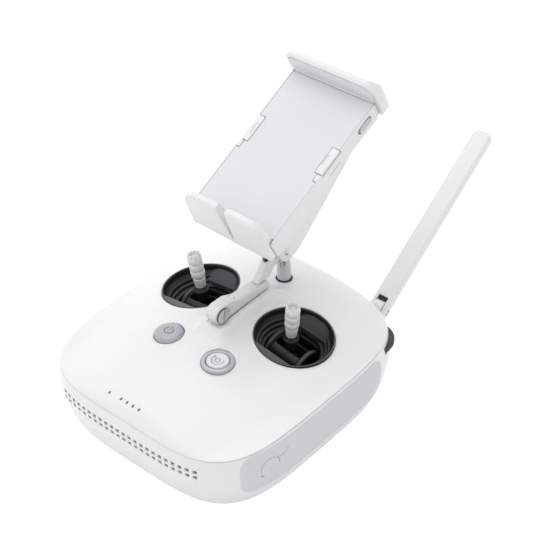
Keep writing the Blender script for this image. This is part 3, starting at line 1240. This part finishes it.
# ------------------------------------------------------------------ antennas
def build_antenna(side, tag, word):
    origin = (side * ANTENNA[0], ANTENNA[1], ANTENNA[2])
    knuckle_body, blade_body = word + "_knuckle", word + "_antenna"
    neck_at, blade_at = place(origin, turn("X", 90)), place(origin, turn("X", ANTENNA_DEG))
    knuckle = fuse(bevel(y_cylinder(0, 0, 4.5, -15.5, -6.6, 48), 0.4, 3, 50),
                   y_cylinder(0, 0, 3.1, -9, -1),
                   bevel(x_cylinder(5.2, -3.3, 3.3), 0.35, 3, 50))
    knuckle = cut(knuckle, x_cylinder(1.8, -8, 8, 32))
    sleeve = spin_ring([(3.15, 3.6), (4.1, 3.8, 0.3), (4.1, 7.4), (3.15, 7.4)], 40, 2)
    emit(sleeve, "joint_sleeve_" + tag, BLACK, knuckle_body, None, neck_at)
    rib = spin_ring([(3.9, 5.0), (4.55, 5.0, 0.15), (4.55, 5.9, 0.15), (3.9, 5.9)], 40, 2)
    emit(rib, "joint_rib_" + tag, WHITE_SATIN, knuckle_body, None, neck_at)
    emit(knuckle, "antenna_joint_" + tag, WHITE_SATIN, knuckle_body, "antenna_knuckle_" + tag,
         place(origin))
    emit(pin(1.5, 6.3, (0.3, 0.3), 32), "antenna_axle_" + tag, STEEL, knuckle_body,
         "antenna_pin_" + tag, place(origin, TO_X))
    blade = prism(soften([(-6.5, -4.7, 2.4), (6.5, -4.7, 2.4), (6.5, ANTENNA_LENGTH, 5.0),
                          (-6.5, ANTENNA_LENGTH, 5.0)], True, 6), -3.2, 3.2)
    blade = cut(bevel(blade, 1.5, 5, 60),
                prism(round_rect(-3.65, 3.65, -12.0, 8.0, 0.6, 3), -9, 9),
                x_cylinder(1.8, -9, 9, 32))
    emit(box(-3.6, 3.6, 5.5, 8.3, -2.8, 1.7, 0.2, 1), "blade_plug_" + tag, BLACK, blade_body,
         None, blade_at)
    emit(blade, "antenna_blade_" + tag, WHITE_SATIN, blade_body, "antenna_paddle_" + tag,
         blade_at)


for side, tag, word in SIDES:
    build_antenna(side, tag, word)

# ------------------------------------------------------------------ rear controls and dials
for name, x, z, r in REAR_KEYS:
    # the wall's y where the key comes out; x is drawn in slightly to suit the plan's scale
    y = plan_point(math.atan2(HALF_Y, x * 0.985), side_scale(z))[1]
    if name == "record_button":
        # a dished face
        profile = [(0, 0.9), (2.2, 0.95), (r - 1.2, 1.45, 0.4), (r - 0.5, 1.3, 0.4),
                   (r, 0.6, 0.3), (r, -4.0), (0, -4.0)]
    else:
        profile = [(0, 1.5), (r - 1.4, 1.4, 0.8), (r - 0.3, 0.9, 0.4), (r, 0.2, 0.2),
                   (r, -4.0), (0, -4.0)]
    emit(spin(profile, 56, 4), name.replace("button", "key"), SILVER, name, name,
         place((x, y, z), TO_Y))

slider = box(-2.6, 2.6, -4.5, 0.6, -1.9, 1.9, 0.3)
for k in range(4):
    rib = box(-1.85 + 1.05 * k, -1.3 + 1.05 * k, 0.3, 1.35, -1.6, 1.6)
    slider = fuse(slider, bevel(rib, 0.1, 1))
emit(slider, "mode_slider", BLACK_RIM, "mode_switch", "mode_switch",
     place((-19.4, 85.7, REAR_Z)))


def knurl(r, z, t):
    if r > 14.2:
        r -= 0.35 * (0.5 - 0.5 * math.cos(48 * t)) ** 1.4
    return r, z


WHEEL = [(0, 2.45), (12.4, 2.45, 0.2), (13.6, 2.3, 0.4), (DIAL_R, 1.5, 0.3), (DIAL_R, 0.5),
         (DIAL_R, -0.5), (DIAL_R, -1.5, 0.3), (13.6, -2.3, 0.4), (12.4, -2.45, 0.2), (0, -2.45)]
for side, name in ((1, "setting"), (-1, "gimbal")):
    emit(lathe(soften(WHEEL, False, 3), 288, shape=knurl), name + "_wheel", BLACK_RIM,
         name + "_dial", name + "_dial",
         place((side * DIAL_AT, DIAL_AT, DIAL_Z)))

# ------------------------------------------------------------------ boards and battery
# These keep their frame solids and only take a material.
for node, material in (("main_board", BOARD), ("radio_board", BOARD), ("battery_pack", CELL)):
    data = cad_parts[node].data
    data.materials.clear()
    data.materials.append(material)


# ------------------------------------------------------------------ floor, light and camera (m)
def build_floor():
    data = bpy.data.meshes.new("floor")
    grid = bmesh.new()
    bmesh.ops.create_grid(grid, x_segments=8, y_segments=8, size=3.0)
    grid.to_mesh(data)
    grid.free()
    floor = bpy.data.objects.new("floor", data)
    floor.location = (0, 0, -0.0002)
    bpy.context.scene.collection.objects.link(floor)
    paper = surface("floor_paper", (0.90, 0.90, 0.90), rough=0.8, var=0.004, bump=0.01,
                    grain=300, edge=0, spec=0.1)
    nodes, links = paper.node_tree.nodes, paper.node_tree.links
    bsdf = nodes["Principled BSDF"]
    bsdf.inputs["Emission Color"].default_value = (1, 1, 1, 1)
    # the floor glows more to the camera than it lights the casing
    light_path = nodes.new("ShaderNodeLightPath")
    glow = nodes.new("ShaderNodeMapRange")
    glow.inputs["To Min"].default_value = 0.10
    glow.inputs["To Max"].default_value = 0.62
    links.new(light_path.outputs["Is Camera Ray"], glow.inputs["Value"])
    links.new(glow.outputs["Result"], bsdf.inputs["Emission Strength"])
    data.materials.append(paper)


def build_world():
    """White surroundings, brighter toward -X."""
    world = bpy.data.worlds.new("studio")
    world.use_nodes = True
    nodes, links = world.node_tree.nodes, world.node_tree.links
    background = nodes["Background"]
    background.inputs[0].default_value = (1.0, 1.0, 1.0, 1)
    coords = nodes.new("ShaderNodeTexCoord")
    gradient = nodes.new("ShaderNodeVectorMath")
    gradient.operation = "DOT_PRODUCT"
    gradient.inputs[1].default_value = (-0.29, 0.09, 0.02)
    level = nodes.new("ShaderNodeMath")
    level.operation = "ADD"
    level.inputs[1].default_value = 1.06
    links.new(coords.outputs["Generated"], gradient.inputs[0])
    links.new(gradient.outputs["Value"], level.inputs[0])
    links.new(level.outputs["Value"], background.inputs[1])
    bpy.context.scene.world = world


def add_disk_light(name, loc, target, size, power):
    light = bpy.data.lights.new(name, "AREA")
    light.shape, light.size, light.energy = "DISK", size, power
    ob = bpy.data.objects.new(name, light)
    ob.location = loc
    ob.rotation_mode = "QUATERNION"
    ob.rotation_quaternion = (Vector(target) - Vector(loc)).to_track_quat("-Z", "Y")
    bpy.context.scene.collection.objects.link(ob)


def add_camera(target, distance, shift, azimuth, elevation, roll):
    """Looks at the target from the right front and above. The shift moves the camera along
    its own right and up; lengths are millimetres and angles are degrees."""
    az, el, ro = [math.radians(a) for a in (azimuth, elevation, roll)]
    back = Vector((math.sin(az) * math.cos(el), -math.cos(az) * math.cos(el), math.sin(el)))
    level_right = Vector((math.cos(az), math.sin(az), 0))
    level_up = back.cross(level_right)
    right = level_right * math.cos(ro) + level_up * math.sin(ro)
    up = -level_right * math.sin(ro) + level_up * math.cos(ro)
    lens = bpy.data.cameras.new("camera")
    lens.lens, lens.sensor_width = 99.278235, 36.0
    lens.clip_start, lens.clip_end = 0.01, 20
    ob = bpy.data.objects.new("camera", lens)
    matrix = Matrix((right, up, back)).transposed().to_4x4()
    matrix.translation = (back * distance + right * shift[0] + up * shift[1]
                          + Vector(target)) * MM
    ob.matrix_world = matrix
    bpy.context.scene.collection.objects.link(ob)
    bpy.context.scene.camera = ob


build_floor()
build_world()
add_disk_light("key", loc=(-0.25, 0.15, 1.3), target=(0, 0, 0.05), size=1.1, power=2.9)
bpy.context.scene.view_settings.view_transform = "Standard"
bpy.context.scene.view_settings.exposure = 0.0
add_camera(target=(0, 20, 58), distance=908.419, shift=(17.885, 19.052),
           azimuth=42.095, elevation=38.553, roll=-1.876)
